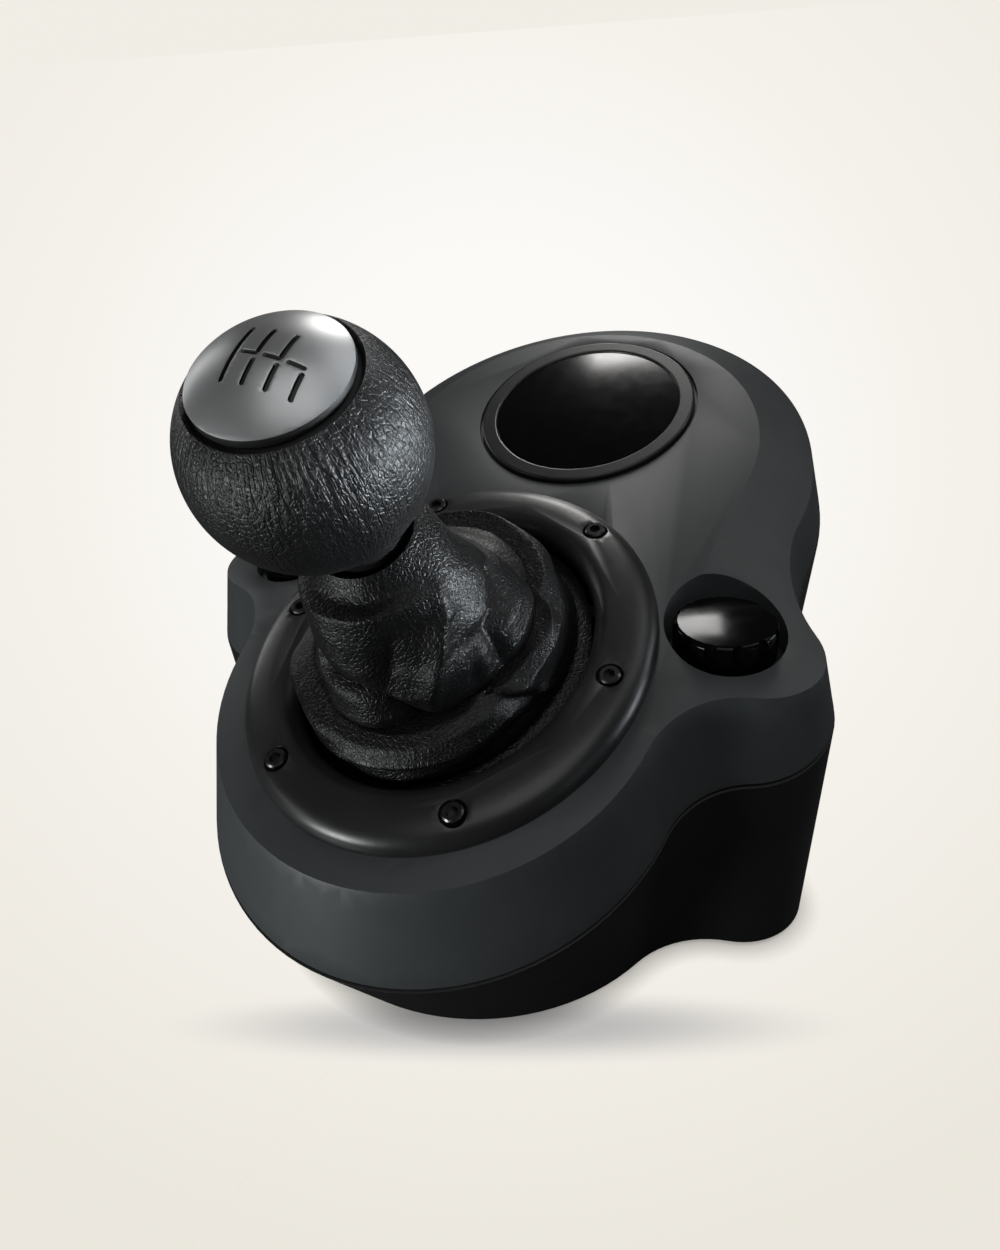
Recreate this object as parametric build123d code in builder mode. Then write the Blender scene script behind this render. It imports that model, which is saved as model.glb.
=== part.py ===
# Gear shifter for driving games, modelled in millimetres.
# +X is the driver's right, +Y points away from the driver and +Z is up.
# The origin is on the underside of the middle foot pad, under the middle of the gaiter opening.

import os
from math import atan2, cos, degrees, hypot, radians, sin, sqrt, tan
from build123d import *

os.makedirs("parts", exist_ok=True)

# Top face of the housing, a plane that rises away from the driver
top_tilt_deg = 20
top_height = 73

# Outline of the top face, a chain of tangent arcs, in the plane of the top face
front_y = -7
front_r = 52.3
lobe_x = 63.9
lobe_y = 22
lobe_r = 14.2
rear_y = 71
rear_r = 62.5
front_waist_r = 24
rear_waist_r = 45

# Outline of the base face, seen from above
base_front_y = 9.5
base_front_r = 52.5
base_lobe_x = 64
base_lobe_y = 22.3
base_lobe_r = 16.2
base_rear_y = 66
base_rear_r = 60

# Housing shells
wall = 2.6
seam_drop = 20.8
seam_flare = 4.6
seam_gap = 0.9
tongue_wall = 1.3
tongue_height = 2.5
tongue_clearance = 0.2
overrun = 8

# Sloped shoulders at the sides and the back of the top face
plateau_y = 71.5
plateau_r = 50.5
shoulder_reach = 40
shoulder_depth_above = 6
shoulder_rear_deg = 29
shoulder_places = [
    # place along the top face, crease from the middle, slope outwards
    (plateau_y, plateau_r, shoulder_rear_deg),
    (0.66 * plateau_y, 0.965 * plateau_r, 22),
    (0.31 * plateau_y, 0.95 * plateau_r, 11.5),
    (-0.11 * plateau_y, 0.93 * plateau_r, 0.5),
]

# Lever pivot and the direction of the lever in neutral
pivot_y = 8.6
pivot_z = 53.7
lever_tilt_deg = 29

# Small gaps
running_clearance = 0.05
sliding_clearance = 0.3
screw_clearance = 0.25
part_gap = 0.3

# Bezel ring round the gaiter, in the plane of the top face
bezel_x = 47.4
bezel_y = 51.8
bezel_open_x = 33.2
bezel_open_y = 38
bezel_height = 5.3
bezel_crest = 7.6
bezel_step_shares = [
    # share of the height above the top face, share of the way from the outer edge in to the crest
    (0, 0), (0.3, 0.03), (0.64, 0.2), (0.89, 0.53), (1, 1),
]
bezel_inner_fillet = 3.6
bezel_screw_x = 40
bezel_screw_side_x = 21.75
bezel_screw_side_y = 39.5
bezel_head_r = 2.35
bezel_head_height = 3.2
bezel_head_proud = 0.35
bezel_head_chamfer = 0.35
bezel_hex_r = 1.35
bezel_hex_depth = 1.8
bezel_counterbore_r = 2.95
bezel_shank_r = 1.4
bezel_shank_length = 7
bezel_boss_r = 3.6
bezel_boss_depth = 8.5

# Gaiter frame, let into the top face under the bezel
gaiter_frame_x = 37.6
gaiter_frame_y = 42.2
gaiter_frame_width = 2.6
gaiter_frame_thickness = 1.4
gaiter_hem_thickness = 0.9
gaiter_ledge_width = 2.2
gaiter_ledge_thickness = 1.8
gaiter_ledge_wall = 2.4

# Round badge dome and its trim ring
badge_y = 88
badge_r = 25
badge_crown = 1.9
badge_rise_share = 0.75
badge_seat_depth = 1.6
badge_trim_r = 29.3
badge_trim_height = 0.9
badge_groove = 0.9
badge_groove_depth = 1.2
badge_stud_r = 2
badge_stud_length = 5
badge_stud_x = 15

# Clamp knobs, their wells, and the screws and jaws below them
clamp_x = 57.3
clamp_y = 23.5
well_r = 13.5
well_wall = 2.2
well_floor = 70.6
well_floor_thickness = 2.6
clamp_knob_r = 11.5
clamp_knob_top = 81.3
clamp_knob_height = 8.6
clamp_knob_crown = 0.9
clamp_knob_fillet = 1.2
clamp_notches = 12
clamp_notch_r = 1.45
clamp_notch_out = 0.35
clamp_notch_depth = 4.2
clamp_hub_r = 5
clamp_screw_r = 3
clamp_screw_bottom = 13
clamp_screw_top_cover = 3
clamp_flange_r = 6
clamp_flange_height = 2
washer_thickness = 0.8
jaw_side = 12
jaw_bottom = 2
jaw_column_top = 52
jaw_arm_width = 10
jaw_arm_inward = 5
jaw_arm_front = 6
jaw_arm_back = 26.5
jaw_arm_height = 6
jaw_pad_length = 14
jaw_pad_height = 1.5
jaw_pad_inset = 0.8
jaw_nut_r = 4.6
jaw_nut_height = 8
jaw_fillet = 1.5
guide_wall = 2.2
guide_top = 40
pocket_wall = 2
pocket_roof_gap = 1

# Base, feet and the screws that hold the shells together
foot_proud = 1.2
foot_recess = 0.8
foot_r = 7
foot_x = 21
foot_front_y = -27
foot_rear_y = 112
floor_thickness = 2.8
case_boss_r = 4.6
case_screw_r = 1.5
case_head_r = 2.8
case_head_height = 2
case_head_web = 4
case_screw_into_upper = 9
case_boss_front_x = 39
case_boss_front_y = -13
case_boss_rear_x = 45
case_boss_rear_y = 68
case_boss_back_y = 107
insert_x = 38
insert_y = 92
insert_r = 4
insert_bore_r = 2.5
insert_length = 10
insert_boss_wall = 2.4

# Frame that carries the lever mechanism, along the neutral lever
frame_half_x = 29
frame_half_y = 28
frame_wall = 3
frame_top = 8
frame_leg_x = 32.5
frame_leg_r = 4.5
frame_leg_front_y = 10
frame_leg_front_top = 32
frame_leg_rear_y = 44
frame_leg_rear_top = 38
frame_corner = 7
leg_screw_length = 12
gate_depth = 35
gate_thickness = 3
gate_half_angle_select = 10
gate_half_angle_shift = 14
gate_margin = 0.65
gate_screw_r = 1.5
gate_screw_length = 9
gate_head_r = 2.2
gate_half_x = 27.7
gate_head_height = 1.8

# Cradle that tilts left and right, and the yoke in it that tilts fore and aft
cradle_half_x = 21
cradle_half_y = 18
cradle_half_height = 6
cradle_open_x = 14.2
cradle_open_y = 11.5
select_axle_r = 3
select_axle_in = 12
select_axle_front_end = 29.5
select_axle_rear_end = 34
bush_wall = 1.5
bush_flange_r = 6
bush_flange = 1
shift_axle_r = 2.5
shift_axle_in = 6.5
shift_axle_left_end = 20.5
shift_axle_right_end = 23
yoke_sleeve_r = 7.5
yoke_neck_r = 6.2
yoke_bottom = 14
yoke_neck_start = 16
yoke_boss_r = 5.5
yoke_boss_half = 13.4
select_sensor_r = 8
select_sensor_height = 6
shift_sensor_r = 5.6
shift_sensor_height = 3.2
torsion_wire_r = 0.5
torsion_turns = 4

# Lever rod, its push spring and its stops
rod_r = 4
pin_r = 1.5
pin_bottom = 42
pin_top = 26
push_travel = 5
clip_r = 6.6
clip_thickness = 1.2
push_wire_r = 0.45
push_turns = 4
push_coil_r = 5.4

# Knob on the lever
knob_height = 95
knob_r = 21.7
knob_cover_thickness = 1.4
knob_cap_back_deg = 2.2
knob_cap_lean_deg = 5.6
knob_cap_half_deg = 39.8
knob_cap_proud = 0.25
knob_cap_thickness = 2.4
knob_groove = 0.35
knob_bottom = 18.6
knob_socket_depth = 14
knob_collar_height = 10.4
knob_collar_r = 7.6
knob_collar_top_r = 9.2
pattern_columns = 4
pattern_pitch = 3.95
pattern_shift = 2.5
pattern_drop = 0.8
pattern_upper = 5.6
pattern_lower = 5.8
pattern_gap = 0.75
pattern_width = 0.85
pattern_depth = 0.55

# Gaiter, from the bezel opening up to the neck under the knob
gaiter_skin = 1
gaiter_lobes = 9
gaiter_fold_share = 0.08
gaiter_mouth_height = 7.9
gaiter_mouth_gap = 0.4
gaiter_lower_shares = [
    # share of the height of the lower stretch, share of the opening, share of the folds' depth
    (0, 0.97, 0), (0.47, 0.975, 0.4), (1, 0.945, 0.8),
]
gaiter_upper_shares = [
    # share of the way from the lower stretch up to the neck, share of the opening, share of the folds' depth
    (0, 0.93, 0.8), (0.1, 0.95, 1), (0.3, 0.93, 1), (0.52, 0.87, 1), (0.7, 0.76, 1), (0.86, 0.58, 0.8),
]
gaiter_centre_share = 0.67
gaiter_collar_grip = 6
gaiter_collar_height = 14
gaiter_collar_wall = 1.4
gaiter_neck_drop = 1.5
gaiter_neck_gap = 0.2

# Electronics and the cable outlet
board_y = 82
board_z = 12
board_length = 46
board_width = 34
board_thickness = 1.6
board_post_r = 2.6
board_post_x = 18
board_post_y = 13
board_screw_r = 1.1
board_head_r = 2
board_head_height = 1.3
chip_side = 9
chip_height = 1.4
chip_y = -4
capacitor_r = 2.5
capacitor_height = 7
capacitor_x = 11
capacitor_y = 8
header_x = 12
header_y = 5
header_height = 7
header_place_y = 11
gland_z = 24
gland_r = 5
gland_bore_r = 2.75
gland_flange_r = 7
gland_flange = 1.8
gland_inside = 7
gland_outside = 7
gland_spot = 0.9


# Heights along the lever above its pivot, from the knob down to the neck of the gaiter
knob_base = knob_height - knob_bottom
spring_top = knob_base - knob_collar_height
yoke_top = spring_top - 2 * push_travel
gaiter_collar_bottom = yoke_top - gaiter_collar_grip
gaiter_collar_top = gaiter_collar_bottom + gaiter_collar_height
gaiter_neck_height = gaiter_collar_top - gaiter_neck_drop

tilt = radians(top_tilt_deg)
top_normal = (0, -sin(tilt), cos(tilt))
TOP = Plane(origin=(0, 0, top_height), x_dir=(1, 0, 0), z_dir=top_normal)


def top_plane(height, forward=0):
    """A plane parallel to the top face, raised along its normal and moved along its slope."""
    return Plane(origin=TOP.from_local_coords((0, forward, height)), x_dir=(1, 0, 0), z_dir=top_normal)


seam_height = -seam_drop * cos(tilt)
seam_shift = -seam_drop * sin(tilt)


def beside(first, second, radius):
    """Centre of the circle that touches two circles from outside, on the right of the way between them."""
    (x1, y1, r1), (x2, y2, r2) = first, second
    far1, far2 = r1 + radius, r2 + radius
    dist = hypot(x2 - x1, y2 - y1)
    along = (far1**2 - far2**2 + dist**2) / (2 * dist)
    across = sqrt(far1**2 - along**2)
    ux, uy = (x2 - x1) / dist, (y2 - y1) / dist
    return x1 + along * ux + across * uy, y1 + along * uy - across * ux


def heading(centre, point):
    return degrees(atan2(point[1] - centre[1], point[0] - centre[0]))


def body_outline(front, lobe, rear, grow=0):
    """Half outline of tangent arcs from the front to the back, and its mirror image."""
    front_c = (0, front[0], front[1] + grow)
    lobe_c = (lobe[0], lobe[1], lobe[2] + grow)
    rear_c = (0, rear[0], rear[1] + grow)
    waist_a_r, waist_b_r = front_waist_r - grow, rear_waist_r - grow
    waist_a = beside(front_c, lobe_c, waist_a_r)
    waist_b = beside(lobe_c, rear_c, waist_b_r)
    arcs = [
        (front_c, front_c[2], -90, heading(front_c, waist_a)),
        (waist_a, waist_a_r, heading(waist_a, front_c), heading(waist_a, lobe_c)),
        (lobe_c, lobe_c[2], heading(lobe_c, waist_a), heading(lobe_c, waist_b)),
        (waist_b, waist_b_r, heading(waist_b, lobe_c), heading(waist_b, rear_c)),
        (rear_c, rear_c[2], heading(rear_c, waist_b), 90),
    ]
    with BuildLine() as outline:
        for centre, radius, start, end in arcs:
            turn = (end - start + 180) % 360 - 180
            CenterArc((centre[0], centre[1]), radius, start, turn)
        for centre, radius, start, end in reversed(arcs):
            turn = (end - start + 180) % 360 - 180
            CenterArc((-centre[0], centre[1]), radius, 180 - end, turn)
    make_face(outline.edges())


top_front = (front_y, front_r)
top_lobe = (lobe_x, lobe_y, lobe_r)
top_rear = (rear_y, rear_r)
base_front = (base_front_y, base_front_r)
base_lobe = (base_lobe_x, base_lobe_y, base_lobe_r)
base_rear = (base_rear_y, base_rear_r)


def band_face(height, inset):
    """Section of the upper shell at a height above the top face, drawn in by an inset."""
    share = height / seam_height
    with BuildSketch(top_plane(height, seam_shift * share)) as face:
        body_outline(top_front, top_lobe, top_rear, grow=seam_flare * share - inset)
    return face.sketch


def base_face(height, inset):
    """Outline of the base, seen from above, drawn in by an inset."""
    with BuildSketch(Plane.XY.offset(height)) as face:
        body_outline(base_front, base_lobe, base_rear, grow=-inset)
    return face.sketch


def oval(height, x, y, forward=0):
    """Oval parallel to the top face."""
    with BuildSketch(top_plane(height, forward)) as face:
        Ellipse(x, y)
    return face.sketch


def face_height(y, drop=0):
    """Height above the base of a point on the top face, or a given drop below it."""
    return top_height + y * tan(tilt) - drop


def finish(piece, name):
    piece.part.label = name
    export_step(piece.part, f"parts/{name}.step")


def shoulder_station(side, place, crease, slope_deg, lower):
    """Face of the shoulder cut across the slope of the top face, at one place along it."""
    station = Plane(origin=TOP.from_local_coords((0, place, -lower)), x_dir=(1, 0, 0),
                    z_dir=(0, -cos(tilt), -sin(tilt)))
    edge = side * crease
    far = side * (crease + shoulder_reach)
    drop = shoulder_reach * tan(radians(slope_deg))
    with BuildSketch(station) as face:
        with BuildLine():
            Polyline((edge, 0), (far, -drop), (far, shoulder_depth_above), (edge, shoulder_depth_above),
                     close=True)
        make_face()
    return face.sketch


def cut_shoulders(lower):
    """Take the sloped shoulders off the sides and the back of the body."""
    for side in (-1, 1):
        loft([shoulder_station(side, *place, lower) for place in shoulder_places], ruled=True,
             mode=Mode.SUBTRACT)
    back = Plane(origin=TOP.from_local_coords((0, plateau_y, -lower)), x_dir=(1, 0, 0),
                 z_dir=(0, -cos(tilt), -sin(tilt)))
    with BuildSketch(back) as wedge:
        with BuildLine():
            Polyline((plateau_r, 0),
                     (plateau_r + shoulder_reach, -shoulder_reach * tan(radians(shoulder_rear_deg))),
                     (plateau_r + shoulder_reach, shoulder_depth_above),
                     (plateau_r, shoulder_depth_above), close=True)
        make_face()
    revolve(wedge.sketch, axis=Axis(back.origin, top_normal), revolution_arc=180, mode=Mode.SUBTRACT)


foot_top = foot_proud + foot_recess
floor_top = foot_proud + floor_thickness
well_bottom = well_floor - well_floor_thickness
seam_rear = (rear_y + rear_r + seam_flare + seam_shift) * cos(tilt) - seam_height * sin(tilt)
seam_rear_z = face_height(seam_rear, seam_drop)
tongue_inset = wall - tongue_wall
gland_share = (gland_z - foot_proud) / (seam_rear_z - foot_proud)
gland_wall_y = base_rear_y + base_rear_r + gland_share * (seam_rear - base_rear_y - base_rear_r)
gland_face_y = gland_wall_y - gland_spot

case_bosses = [
    (-case_boss_front_x, case_boss_front_y), (case_boss_front_x, case_boss_front_y),
    (-case_boss_rear_x, case_boss_rear_y), (case_boss_rear_x, case_boss_rear_y),
    (0, case_boss_back_y),
]
bezel_screws_at = [
    (-bezel_screw_x, 0), (bezel_screw_x, 0),
    (-bezel_screw_side_x, -bezel_screw_side_y), (bezel_screw_side_x, -bezel_screw_side_y),
    (-bezel_screw_side_x, bezel_screw_side_y), (bezel_screw_side_x, bezel_screw_side_y),
]
clamps_at = [(-clamp_x, clamp_y), (clamp_x, clamp_y)]
legs_at = [
    (side * frame_leg_x, y, top)
    for y, top in ((frame_leg_front_y, frame_leg_front_top), (frame_leg_rear_y, frame_leg_rear_top))
    for side in (-1, 1)
]
feet_at = [(-foot_x, foot_front_y), (foot_x, foot_front_y), (0, 0),
           (-foot_x, foot_rear_y), (foot_x, foot_rear_y)]
board_posts_at = [(x, board_y + y) for x in (-board_post_x, board_post_x)
                  for y in (-board_post_y, board_post_y)]


def boss_height(y):
    """Level where a lower screw boss meets the upper one."""
    return face_height(y, seam_drop + case_boss_r * tan(tilt))


def column(low, high, radius, mode=Mode.ADD):
    """Round upright column between two heights, at the active locations."""
    Cylinder(radius, high - low, align=(Align.CENTER, Align.CENTER, Align.MIN), mode=mode)


# Upper housing: outer body, the room inside it, wells for the clamp knobs and screw bosses

with BuildPart() as upper_outer:
    loft([band_face(seam_height, 0), band_face(0, 0)], ruled=True)
    cut_shoulders(0)

with BuildPart() as upper_room:
    loft([band_face(seam_height, wall), band_face(-wall, wall)], ruled=True)
    cut_shoulders(wall)
    loft([band_face(seam_height, tongue_inset - tongue_clearance),
          band_face(seam_height + tongue_height + part_gap, tongue_inset - tongue_clearance)], ruled=True)

with BuildPart() as upper_bosses:
    for x, y in clamps_at:
        with Locations((x, y, well_bottom)):
            column(well_bottom, face_height(y, -overrun), well_r + well_wall)
    for x, y in case_bosses:
        with Locations((x, y, boss_height(y))):
            column(boss_height(y), face_height(y), case_boss_r)
    loft([oval(-gaiter_ledge_thickness - gaiter_frame_thickness - gaiter_hem_thickness,
               gaiter_frame_x + gaiter_ledge_wall, gaiter_frame_y + gaiter_ledge_wall),
          oval(0, gaiter_frame_x + gaiter_ledge_wall, gaiter_frame_y + gaiter_ledge_wall)], ruled=True)
    with BuildSketch(top_plane(-bezel_boss_depth)):
        with Locations(*bezel_screws_at):
            Circle(bezel_boss_r)
    extrude(amount=bezel_boss_depth)
    add(upper_outer.part, mode=Mode.INTERSECT)

frame_seat = gaiter_frame_thickness + gaiter_hem_thickness + gaiter_neck_gap / 2
with BuildPart() as upper_housing:
    add(upper_outer.part)
    add(upper_room.part, mode=Mode.SUBTRACT)
    add(upper_bosses.part)
    for x, y in clamps_at:
        with Locations((x, y, well_floor)):
            column(well_floor, face_height(y, -overrun), well_r, Mode.SUBTRACT)
        with Locations((x, y, 0)):
            column(0, well_floor, clamp_screw_r + running_clearance, Mode.SUBTRACT)
    for x, y in case_bosses:
        with Locations((x, y, 0)):
            column(0, boss_height(y) + case_screw_into_upper + part_gap, case_screw_r + running_clearance,
                   Mode.SUBTRACT)
    with BuildSketch(top_plane(-frame_seat)):
        Ellipse(gaiter_frame_x + gaiter_neck_gap, gaiter_frame_y + gaiter_neck_gap)
    extrude(amount=overrun, mode=Mode.SUBTRACT)
    with BuildSketch(top_plane(-overrun)):
        Ellipse(gaiter_frame_x - gaiter_ledge_width, gaiter_frame_y - gaiter_ledge_width)
    extrude(amount=overrun, mode=Mode.SUBTRACT)
    with BuildSketch(top_plane(overrun)):
        with Locations(*bezel_screws_at):
            Circle(bezel_shank_r + running_clearance)
    extrude(amount=-2 * overrun, mode=Mode.SUBTRACT)
    with BuildSketch(top_plane(-badge_groove_depth, badge_y)):
        Circle(badge_trim_r + badge_groove)
    extrude(amount=overrun, mode=Mode.SUBTRACT)
    with BuildSketch(top_plane(-badge_seat_depth, badge_y)):
        Circle(badge_r + running_clearance)
    extrude(amount=overrun, mode=Mode.SUBTRACT)
    with BuildSketch(top_plane(-overrun, badge_y)):
        with Locations((-badge_stud_x, 0), (badge_stud_x, 0)):
            Circle(badge_stud_r + running_clearance)
    extrude(amount=2 * overrun, mode=Mode.SUBTRACT)
finish(upper_housing, "upper_housing")


# Lower housing: outer body, the room inside it, posts, pockets and guides for the jaws

with BuildPart() as lower_room:
    loft([base_face(floor_top, wall), band_face(seam_height, wall)], ruled=True)

with BuildPart() as tongue_outer:
    loft([band_face(seam_height - seam_gap, tongue_inset),
          band_face(seam_height + tongue_height, tongue_inset)], ruled=True)

with BuildPart() as tongue_room:
    loft([band_face(seam_height - seam_gap, wall), band_face(seam_height + tongue_height, wall)], ruled=True)

arm_x = clamp_x - jaw_arm_inward
arm_length = jaw_arm_front + jaw_arm_back
arm_y = clamp_y + (jaw_arm_back - jaw_arm_front) / 2
pocket_x = jaw_arm_width + 2 * sliding_clearance
pocket_y = arm_length + 2 * sliding_clearance
pocket_roof = jaw_bottom + jaw_arm_height + jaw_pad_height + pocket_roof_gap
guide_room = jaw_side + 2 * sliding_clearance
to_top = (Align.CENTER, Align.CENTER, Align.MIN)

with BuildPart() as lower_housing:
    loft([base_face(foot_proud, 0), band_face(seam_height - seam_gap, 0)], ruled=True)
    add(lower_room.part, mode=Mode.SUBTRACT)
    add(tongue_outer.part)
    add(tongue_room.part, mode=Mode.SUBTRACT)
    for x, y in case_bosses:
        with Locations((x, y, foot_proud)):
            column(foot_proud, boss_height(y), case_boss_r)
    for x, y in board_posts_at:
        with Locations((x, y, foot_proud)):
            column(foot_proud, board_z, board_post_r)
    for x in (-insert_x, insert_x):
        with Locations((x, insert_y, foot_proud)):
            column(0, insert_length + insert_boss_wall, insert_r + insert_boss_wall)
    for side in (-1, 1):
        with Locations((side * arm_x, arm_y, foot_proud)):
            Box(pocket_x + 2 * pocket_wall, pocket_y + 2 * pocket_wall, pocket_roof + pocket_wall - foot_proud,
                align=to_top)
        with Locations((side * clamp_x, clamp_y, foot_proud)):
            Box(guide_room + 2 * guide_wall, guide_room + 2 * guide_wall, guide_top - foot_proud, align=to_top)
        with Locations((side * arm_x, arm_y, -overrun)):
            Box(pocket_x, pocket_y, pocket_roof + overrun, align=to_top, mode=Mode.SUBTRACT)
        with Locations((side * clamp_x, clamp_y, -overrun)):
            Box(guide_room, guide_room, guide_top + 2 * overrun, align=to_top, mode=Mode.SUBTRACT)
    for x, y in case_bosses:
        with Locations((x, y, -overrun)):
            column(-overrun, boss_height(y) - case_head_web, case_head_r + screw_clearance, Mode.SUBTRACT)
            column(-overrun, boss_height(y) + overrun, case_screw_r + screw_clearance, Mode.SUBTRACT)
    for x, y in board_posts_at:
        with Locations((x, y, floor_top)):
            column(floor_top, board_z + overrun, board_screw_r + running_clearance, Mode.SUBTRACT)
    for x in (-insert_x, insert_x):
        with Locations((x, insert_y, 0)):
            column(0, foot_proud + insert_length, insert_r + running_clearance, Mode.SUBTRACT)
    for x, y, top in legs_at:
        with Locations((x, y, -overrun)):
            column(-overrun, floor_top + overrun, case_screw_r + screw_clearance, Mode.SUBTRACT)
    for x, y in feet_at:
        with Locations((x, y, 0)):
            column(0, foot_top, foot_r + running_clearance, Mode.SUBTRACT)
    with BuildSketch(Plane.XZ.offset(-base_rear_y - base_rear_r - overrun)):
        with Locations((0, gland_z)):
            Circle(gland_r + running_clearance)
    extrude(amount=3 * overrun, mode=Mode.SUBTRACT)
    with BuildSketch(Plane.XZ.offset(-gland_face_y)):
        with Locations((0, gland_z)):
            Circle(gland_flange_r + part_gap)
    extrude(amount=-overrun, mode=Mode.SUBTRACT)
finish(lower_housing, "lower_housing")


# Bezel ring with its screws, and the frame that holds the gaiter's hem

bezel_head_bottom = bezel_height + bezel_head_proud - bezel_head_height

with BuildPart() as bezel_ring:
    loft([oval(rise * bezel_height, bezel_x - inward * bezel_crest, bezel_y - inward * bezel_crest)
          for rise, inward in bezel_step_shares])
    with BuildSketch(top_plane(0)):
        Ellipse(bezel_open_x, bezel_open_y)
    extrude(amount=overrun, mode=Mode.SUBTRACT)
    rims = bezel_ring.edges().group_by(Axis((0, 0, 0), top_normal))[-1]
    fillet(rims.sort_by(SortBy.LENGTH)[0], bezel_inner_fillet)
    with BuildSketch(top_plane(bezel_head_bottom)):
        with Locations(*bezel_screws_at):
            Circle(bezel_counterbore_r)
    extrude(amount=overrun, mode=Mode.SUBTRACT)
    with BuildSketch(top_plane(0)):
        with Locations(*bezel_screws_at):
            Circle(bezel_shank_r + screw_clearance)
    extrude(amount=overrun, mode=Mode.SUBTRACT)
finish(bezel_ring, "bezel_ring")

with BuildPart() as bezel_screws:
    with BuildSketch(top_plane(bezel_head_bottom)):
        with Locations(*bezel_screws_at):
            Circle(bezel_head_r)
    extrude(amount=bezel_head_height)
    chamfer(bezel_screws.edges().group_by(Axis((0, 0, 0), top_normal))[-1], bezel_head_chamfer)
    with BuildSketch(top_plane(bezel_head_bottom + bezel_head_height)):
        with Locations(*bezel_screws_at):
            RegularPolygon(bezel_hex_r, 6)
    extrude(amount=-bezel_hex_depth, mode=Mode.SUBTRACT)
    with BuildSketch(top_plane(bezel_head_bottom)):
        with Locations(*bezel_screws_at):
            Circle(bezel_shank_r)
    extrude(amount=-bezel_shank_length)
finish(bezel_screws, "bezel_screws")

with BuildPart() as gaiter_frame:
    with BuildSketch(top_plane(-frame_seat)):
        Ellipse(gaiter_frame_x, gaiter_frame_y)
        Ellipse(gaiter_frame_x - gaiter_frame_width, gaiter_frame_y - gaiter_frame_width, mode=Mode.SUBTRACT)
    extrude(amount=gaiter_frame_thickness)
finish(gaiter_frame, "gaiter_frame")


# Gaiter, in two stretches that meet in a fold, and the collar that ties it to the lever

lever_tilt = radians(lever_tilt_deg)
lever_direction = (0, -sin(lever_tilt), cos(lever_tilt))
lever_across = (0, cos(lever_tilt), sin(lever_tilt))
PIVOT = Plane(origin=(0, pivot_y, pivot_z), x_dir=(1, 0, 0), z_dir=lever_direction)
pivot_in_top = TOP.to_local_coords(Vector(0, pivot_y, pivot_z))


def lever_plane(height):
    """Plane square to the neutral lever, at a height above the pivot."""
    return PIVOT.offset(height)


neck_in_top = TOP.to_local_coords(PIVOT.from_local_coords((0, 0, gaiter_neck_height)))
gaiter_rise = neck_in_top.Z - gaiter_mouth_height


def gaiter_forward(height):
    """How far the middle of the gaiter has followed the lever at a height above the top face."""
    share = min(max((height - gaiter_mouth_height) / (gaiter_centre_share * gaiter_rise), 0), 1)
    lean = tan(lever_tilt - tilt)
    return share * (pivot_in_top.Y - (height - pivot_in_top.Z) * lean)


def scalloped(plane, x, y, fold):
    """Closed line of arcs that bulge between folds."""
    points = []
    for step in range(2 * gaiter_lobes):
        turn = radians(90 + step * 180 / gaiter_lobes)
        inward = 1 - fold if step % 2 == 0 else 1
        points.append((x * inward * cos(turn), y * inward * sin(turn)))
    points.append(points[0])
    with BuildLine() as line:
        for start in range(0, 2 * gaiter_lobes, 2):
            ThreePointArc(points[start], points[start + 1], points[start + 2])
    with BuildSketch(plane) as face:
        make_face(line.edges())
    return face.sketch


def gaiter_face(height, share, folds, inset):
    return scalloped(top_plane(height, gaiter_forward(height)), bezel_open_x * share - inset,
                     bezel_open_y * share - inset, gaiter_fold_share * folds)


def gaiter_faces(low, high, shares, inset):
    """Sections of one stretch of the gaiter between two heights, drawn in by an inset."""
    return [gaiter_face(low + rise * (high - low), share, folds, inset) for rise, share, folds in shares]


hem_top = -gaiter_neck_gap / 2
hem_share = gaiter_lower_shares[0][1]
hem_lip = gaiter_skin + part_gap
lower_top = gaiter_mouth_height - gaiter_mouth_gap
with BuildPart() as gaiter_lower:
    loft(gaiter_faces(hem_top, lower_top, gaiter_lower_shares, 0), ruled=True)
    with BuildSketch(top_plane(hem_top)):
        Ellipse(gaiter_frame_x, gaiter_frame_y)
    extrude(amount=-gaiter_hem_thickness)
    with BuildSketch(top_plane(-overrun)):
        Ellipse(bezel_open_x * hem_share - hem_lip, bezel_open_y * hem_share - hem_lip)
    extrude(amount=overrun, mode=Mode.SUBTRACT)
    loft(gaiter_faces(hem_top, lower_top, gaiter_lower_shares, gaiter_skin), ruled=True, mode=Mode.SUBTRACT)
finish(gaiter_lower, "gaiter_lower")

collar_room_r = knob_collar_top_r + sliding_clearance
collar_r = collar_room_r + gaiter_collar_wall
neck_r = collar_r + gaiter_neck_gap
mouth_share, mouth_folds = gaiter_upper_shares[0][1:]
with BuildPart() as gaiter_upper:
    loft(gaiter_faces(gaiter_mouth_height, neck_in_top.Z, gaiter_upper_shares, 0) + [
        scalloped(lever_plane(gaiter_neck_height), neck_r + gaiter_skin, neck_r + gaiter_skin, 0)], ruled=True)
    loft([gaiter_face(gaiter_mouth_height - part_gap, mouth_share, mouth_folds, gaiter_skin)]
         + gaiter_faces(gaiter_mouth_height, neck_in_top.Z, gaiter_upper_shares, gaiter_skin)
         + [scalloped(lever_plane(gaiter_neck_height + past_neck), neck_r, neck_r, 0)
            for past_neck in (0, part_gap)], ruled=True, mode=Mode.SUBTRACT)
finish(gaiter_upper, "gaiter_upper")

with BuildPart() as gaiter_collar:
    with BuildSketch(lever_plane(gaiter_collar_bottom)):
        Circle(collar_r)
        Circle(yoke_neck_r + running_clearance, mode=Mode.SUBTRACT)
    extrude(amount=gaiter_collar_height)
    with BuildSketch(lever_plane(yoke_top)):
        Circle(collar_room_r)
    extrude(amount=gaiter_collar_height, mode=Mode.SUBTRACT)
finish(gaiter_collar, "gaiter_collar")


# Badge dome, left bare, and the raised trim ring round it

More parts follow.
